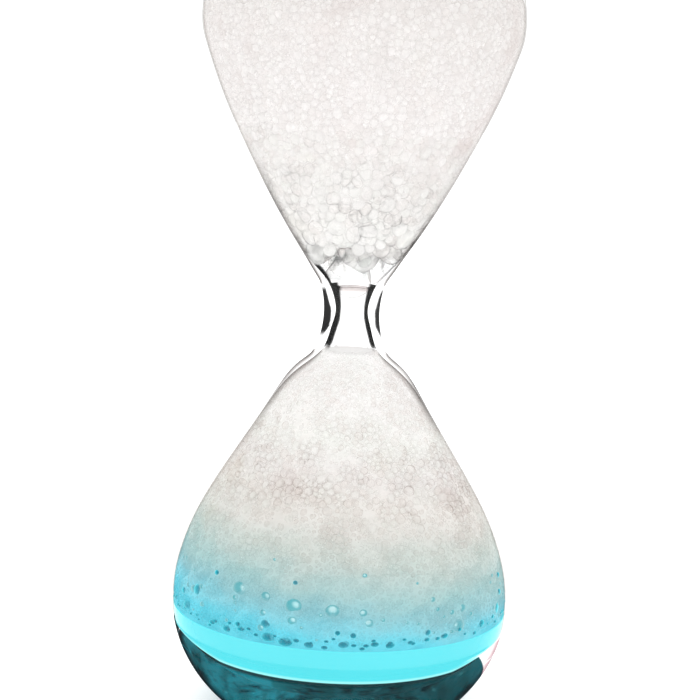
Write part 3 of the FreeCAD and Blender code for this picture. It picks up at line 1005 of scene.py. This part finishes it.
# Bubbles at the liquid's surface that catch the eye: degrees from the front, rise and width in
# millimetres. The beads are small dark bubbles in a row, the rings are clear ones above them.
RAFT_BEADS = (
    (2, 1.4, 2.3), (-9, 1.0, 2.1), (-17, 0.9, 2.5), (-23, 1.3, 2.5), (-39, 1.2, 1.9), (-33, 1.9, 1.5),
    (-4, 0.7, 1.2), (8, 0.7, 1.0), (12, 1.5, 1.7), (17, 1.2, 1.9), (37, 1.9, 1.7), (56, 2.3, 1.7),
    (-63, 2.3, 2.5), (-56, 6.1, 2.3), (72, 6.2, 1.2), (68, 3.6, 2.5), (0, 3.5, 0.9), (5, 3.1, 1.0),
    (-24, 3.8, 1.7), (-46, 1.5, 1.3), (24, 1.5, 1.2), (30, 1.7, 1.2), (-15, 11.7, 0.8), (-47, 10.6, 1.0),
    (-66, 4.8, 1.3), (74, 9.2, 1.0),
)
RING_BUBBLES = (
    (-36, 8.8, 2.9), (-15, 7.5, 2.9), (-2, 7.3, 2.5), (44, 3.1, 2.5), (-15, 5.0, 1.7), (10, 5.3, 1.7),
    (8, 7.1, 1.5), (-25, 5.7, 1.2), (-25, 8.6, 1.7),
)


# Ring bubbles: a painted highlight in the middle, a painted dark ring, lighter towards the edge.
RING_SHADES = [(0.0, (0.62, 0.90, 0.92)), (0.03, (0.42, 0.76, 0.79)), (0.09, (0.10, 0.44, 0.49)),
               (0.26, (0.09, 0.42, 0.47)), (0.55, (0.32, 0.60, 0.62)), (1.0, (0.45, 0.68, 0.69))]
FRONT_DEGREES = 75             # the placed beads lie this far round; those between them are small


def bubble_row(low, turn, rise, width, spread):
    """Angle, height, half-width and flatness of one bubble, from degrees and millimetres."""
    flat = 0.62 if rise < 2.5 else 0.92
    return math.radians(turn), low + rise * MM, width * MM / 2 * spread * 1.12, flat


class HOURGLASS_OT_raft(BuildStep, bpy.types.Operator):
    """Set the raft of bubbles between the liquid and the foam, and the few that climb above it"""
    bl_idname = "hourglass.raft"
    bl_label = "Bubble Raft"

    def build(self, outline):
        liquid = settings().liquid
        rng = np.random.default_rng(SEED + 2)
        low = outline.liquid_top
        row = [bubble_row(low, *entry, 1.0) for entry in RAFT_BEADS]
        rings = [bubble_row(low, *entry, 1.0) for entry in RING_BUBBLES]
        for i in range(liquid.raft_count):
            turn = (i + rng.normal() * 0.35) / liquid.raft_count * 360
            if min(turn, 360 - turn) < FRONT_DEGREES:
                width = 0.7 + 0.7 * rng.random()
            else:
                width = 1.0 + 1.4 * rng.random() ** 1.5
            row.append(bubble_row(low, turn, 0.9 + abs(rng.normal()) * 0.9, width, 0.8))
        for _ in range(liquid.ring_count):
            climb = 1.6 + abs(rng.normal()) * 4.6
            rings.append(bubble_row(low, rng.random() * 360, climb, 0.5 + 1.1 * rng.random() ** 2.6, 1.0))
        # Raft beads: painted shade, darkest in the middle of each bubble.
        shades = [(0.0, tuple(liquid.bead_dark)), (0.16, (0.002, 0.27, 0.36)), (0.45, (0.015, 0.42, 0.52)),
                  (0.85, tuple(liquid.colour))]
        dark = bead_film("raft bubble film", shades, 0.70, 1.0)
        ring = bead_film("ring bubble film", RING_SHADES, 0.50, 0.92)
        self.place("bubble_raft_beads", row, dark, rng, ["bubble_raft"])
        self.place("bubble_raft_rings", rings, ring, rng, [])

    def place(self, name, bubbles, material, rng, replaced):
        """Bubbles pressed a little flat against the glass, wider than they are high."""
        outline = the_outline()
        directions, faces = ball(3)
        points = []
        for turn, height, radius, flat in bubbles:
            out = float(outline.cavity_at(height)) - radius * 0.5 + 0.06 * MM
            outward = np.array((math.sin(turn), -math.cos(turn), 0))
            aside = np.array((math.cos(turn), math.sin(turn), 0))
            shape = (directions[:, :1] * outward * 0.5 + directions[:, 1:2] * aside
                     + directions[:, 2:] * np.array((0, 0, flat)))
            points.append(outward * out + np.array((0, 0, height)) + shape * radius)
        mesh = cells_mesh(name, np.array(points), faces, rng.random(len(points)))
        add_piece(name, mesh, material, replaced)


# Colour of the foam, by share of the height from the liquid to the neck, or from the neck to the top.
LOWER_FOAM = [
    (0.00, (0.08, 0.60, 0.74)), (0.03, (0.095, 0.62, 0.76)), (0.08, (0.185, 0.61, 0.72)),
    (0.13, (0.245, 0.54, 0.60)), (0.20, (0.36, 0.575, 0.58)), (0.26, (0.46, 0.60, 0.585)),
    (0.33, (0.575, 0.635, 0.60)), (0.41, (0.695, 0.69, 0.655)), (0.50, (0.77, 0.745, 0.71)),
    (0.60, (0.80, 0.775, 0.755)), (0.70, (0.85, 0.845, 0.815)), (0.85, (0.89, 0.87, 0.855)),
    (1.00, (0.93, 0.915, 0.905)),
]
UPPER_FOAM = [(0.0, (0.97, 0.965, 0.955)), (0.16, (0.94, 0.925, 0.91)), (0.28, (0.88, 0.86, 0.845)),
              (0.47, (0.87, 0.84, 0.83)), (0.60, (0.85, 0.82, 0.81)), (0.75, (0.83, 0.80, 0.785)),
              (1.0, (0.82, 0.79, 0.775))]
# Painted shade of the seams between bubbles and of their turned-away edges, by share of the same heights.
LOWER_SEAMS = [(0.0, 0.93), (0.30, 0.93), (0.42, (0.90, 0.885, 0.875)), (0.52, (0.64, 0.595, 0.58)),
               (0.66, (0.74, 0.71, 0.70)), (0.80, (0.88, 0.865, 0.855)), (1.0, 0.94)]
UPPER_SEAMS = [(0.0, 0.50), (0.12, 0.58), (0.22, 0.72), (0.34, 0.86), (0.55, 0.93), (1.0, 0.95)]


class HOURGLASS_OT_wet_foam(BuildStep, bpy.types.Operator):
    """Build the wet foam above the liquid"""
    bl_idname = "hourglass.wet_foam"
    bl_label = "Wet Foam"

    def build(self, outline):
        low, high = outline.liquid_top, outline.neck_low
        top = span("wet_foam")[1]
        body = foam_body("wet foam", LOWER_FOAM, low, high, 900, 0.1 * MM)
        foam_core("wet_foam_body", outline, low + 0.05 * MM, top, lower_depth, body,
                  ["wet_foam"])
        skin = foam_skin("wet foam film", LOWER_FOAM, low, high, (0.20, 0.55), LOWER_SEAMS, 0.3)
        cell_piece("wet_foam_cells", lower_cells(), low, top, 2, skin, [], inset=0.05 * MM)


class HOURGLASS_OT_lower_foam(BuildStep, bpy.types.Operator):
    """Build the drained foam up to the neck"""
    bl_idname = "hourglass.lower_foam"
    bl_label = "Lower Foam"

    def build(self, outline):
        low, high = outline.liquid_top, outline.neck_low
        bottom = span("wet_foam")[1]
        body = foam_body("drained foam", LOWER_FOAM, low, high, 700, 0.15 * MM)
        foam_core("lower_foam_body", outline, bottom, high + 0.3 * MM, lower_depth, body,
                  ["lower_foam"])
        skin = foam_skin("drained foam film", LOWER_FOAM, low, high, (0.45, 0.95), LOWER_SEAMS)
        cell_piece("lower_foam_cells", lower_cells(), bottom, outline.neck_high, 2, skin, [])


class HOURGLASS_OT_neck_film(BuildStep, bpy.types.Operator):
    """Stretch the soap film across the bore"""
    bl_idname = "hourglass.neck_film"
    bl_label = "Neck Film"

    def build(self, outline):
        low, high = span("neck_film")
        edge = float(outline.cavity_at(low)) - 0.05 * MM
        rise = 0.45 * MM
        thick = high - low - rise
        under = [(edge * t, low + rise * (1 - t * t)) for t in np.linspace(0, 1, 14)]
        over = [(radius, z + thick) for radius, z in reversed(under)]
        mesh = turned_mesh("neck_soap_film", under + over, 96)
        # Painted shade: the film darkens where it turns away.
        stops = [(0.0, (0.97, 0.96, 0.96)), (0.7, (0.90, 0.88, 0.88)), (0.95, (0.62, 0.59, 0.59))]
        add_piece("neck_soap_film", mesh, clear_film("neck film", stops, 1.0, 0.05),
                  ["neck_film"])


class HOURGLASS_OT_big_bubbles(BuildStep, bpy.types.Operator):
    """Blow the large clear bubbles just above the neck"""
    bl_idname = "hourglass.big_bubbles"
    bl_label = "Big Bubbles"

    def build(self, outline):
        # Painted shade: the films darken where they turn away and along their seams.
        stops = [(0.0, 0.99), (0.72, 0.96), (0.90, 0.68), (1.0, 0.30)]
        film = clear_film("fresh bubble film", stops, 0.66, 0.01)
        cell_piece("big_bubble_cells", upper_cells(), outline.neck_high, core_start(outline) + 2 * MM, 4,
                   film, ["big_bubbles"], round_off=14, gap=0.012)


class HOURGLASS_OT_coarse_foam(BuildStep, bpy.types.Operator):
    """Build the open foam above the big bubbles"""
    bl_idname = "hourglass.coarse_foam"
    bl_label = "Coarse Foam"

    def build(self, outline):
        skin = foam_skin("coarse foam film", UPPER_FOAM, outline.neck_high, outline.ceiling, (0.15, 0.70),
                         UPPER_SEAMS)
        cell_piece("coarse_foam_cells", upper_cells(), core_start(outline) + 2 * MM,
                   span("coarse_foam")[1], 3, skin, ["coarse_foam"], round_off=11, gap=0.02)


class HOURGLASS_OT_fine_foam(BuildStep, bpy.types.Operator):
    """Build the fine foam that fills the upper bulb"""
    bl_idname = "hourglass.fine_foam"
    bl_label = "Fine Foam"

    def build(self, outline):
        low, high = outline.neck_high, outline.ceiling
        body = foam_body("fresh foam", UPPER_FOAM, low, high, 420, 0.2 * MM)
        foam_core("fine_foam_body", outline, core_start(outline), high - 2.5 * MM, upper_depth, body,
                  ["fine_foam"], rounded=10 * MM)
        skin = foam_skin("fine foam film", UPPER_FOAM, low, high, (0.35, 0.90), UPPER_SEAMS, 0.5)
        cell_piece("fine_foam_cells", upper_cells(), span("coarse_foam")[1], outline.top, 2, skin,
                   [])


class HOURGLASS_OT_stage(bpy.types.Operator):
    """Set the floor, the soft lights and the camera"""
    bl_idname = "hourglass.stage"
    bl_label = "Studio"

    def execute(self, context):
        scene = context.scene
        stage = scene.hourglass.stage
        paper_sheet()
        world = bpy.data.worlds.new("studio")
        world.use_nodes = True
        background = world.node_tree.nodes["Background"]
        background.inputs["Color"].default_value = (1, 1, 1, 1)
        background.inputs["Strength"].default_value = stage.surround
        scene.world = world
        soft_light("key light", (-0.45, -0.55, 0.62), 0.42, 1.6)
        soft_light("fill light", (0.60, -0.30, 0.40), 0.40, 0.8)
        soft_light("back light", (0.10, 0.70, 0.45), 0.50, 1.2)

        camera = linked("camera", bpy.data.cameras.new("camera"))
        camera.data.lens = stage.lens
        camera.data.sensor_width = 36
        camera.data.clip_start = 0.01
        aim = Vector((0, 0, stage.aim_height))
        place = Vector((0, -stage.distance, stage.camera_height))
        look = (aim - place).to_track_quat("-Z", "Y").to_matrix().to_4x4()
        camera.matrix_world = Matrix.Translation(place) @ look @ Matrix.Rotation(stage.roll, 4, "Z")
        scene.camera = camera
        scene.view_settings.view_transform = "Standard"
        scene.cycles.transparent_max_bounces = 64
        scene.cycles.max_bounces = 10
        scene.cycles.use_denoising = True
        return {"FINISHED"}


def linked(name, data):
    """A new object of the scene."""
    made = bpy.data.objects.new(name, data)
    bpy.context.scene.collection.objects.link(made)
    return made


def paper_sheet():
    """The floor: a wide sheet a hair below the foot, so that the two never share a plane."""
    mesh = bpy.data.meshes.new("studio_floor")
    reach = 40.0
    level = -0.05 * MM
    mesh.from_pydata([(-reach, -reach, level), (reach, -reach, level), (reach, reach, level),
                      (-reach, reach, level)], [], [(0, 1, 2, 3)])
    mesh.materials.append(paper_floor("studio paper"))
    linked("studio_floor", mesh)


def soft_light(name, place, size, power):
    """A square soft box that points at the middle of the timer."""
    light = bpy.data.lights.new(name, "AREA")
    light.size = size
    light.energy = power
    lamp = linked(name, light)
    lamp.location = place
    lamp.visible_glossy = False
    lamp.rotation_euler = (Vector((0, 0, 0.08)) - Vector(place)).to_track_quat("-Z", "Y").to_euler()


OPERATORS = (HOURGLASS_OT_bulbs, HOURGLASS_OT_neck, HOURGLASS_OT_feet, HOURGLASS_OT_solution,
             HOURGLASS_OT_raft, HOURGLASS_OT_wet_foam, HOURGLASS_OT_lower_foam, HOURGLASS_OT_neck_film,
             HOURGLASS_OT_big_bubbles, HOURGLASS_OT_coarse_foam, HOURGLASS_OT_fine_foam, HOURGLASS_OT_stage)


class HOURGLASS_PT_panel(bpy.types.Panel):
    """Lists the settings and the pieces of the hourglass"""
    bl_idname = "HOURGLASS_PT_panel"
    bl_label = "Bubble Hourglass"
    bl_space_type = "VIEW_3D"
    bl_region_type = "UI"
    bl_category = "Hourglass"

    def draw(self, context):
        chosen = context.scene.hourglass
        for group in (chosen.glass, chosen.liquid, chosen.foam, chosen.stage):
            box = self.layout.box()
            for name in group.__annotations__:
                box.prop(group, name)
        for operator in OPERATORS:
            self.layout.operator(operator.bl_idname)


CLASSES = (GlassSettings, LiquidSettings, FoamSettings, StageSettings, Settings, *OPERATORS,
           HOURGLASS_PT_panel)


def register():
    for entry in CLASSES:
        bpy.utils.register_class(entry)
    bpy.types.Scene.hourglass = PointerProperty(type=Settings)


def unregister():
    del bpy.types.Scene.hourglass
    for entry in reversed(CLASSES):
        bpy.utils.unregister_class(entry)


def main():
    register()
    for operator in OPERATORS:
        group, name = operator.bl_idname.split(".")
        getattr(getattr(bpy.ops, group), name)()


if __name__ == "__main__":
    main()
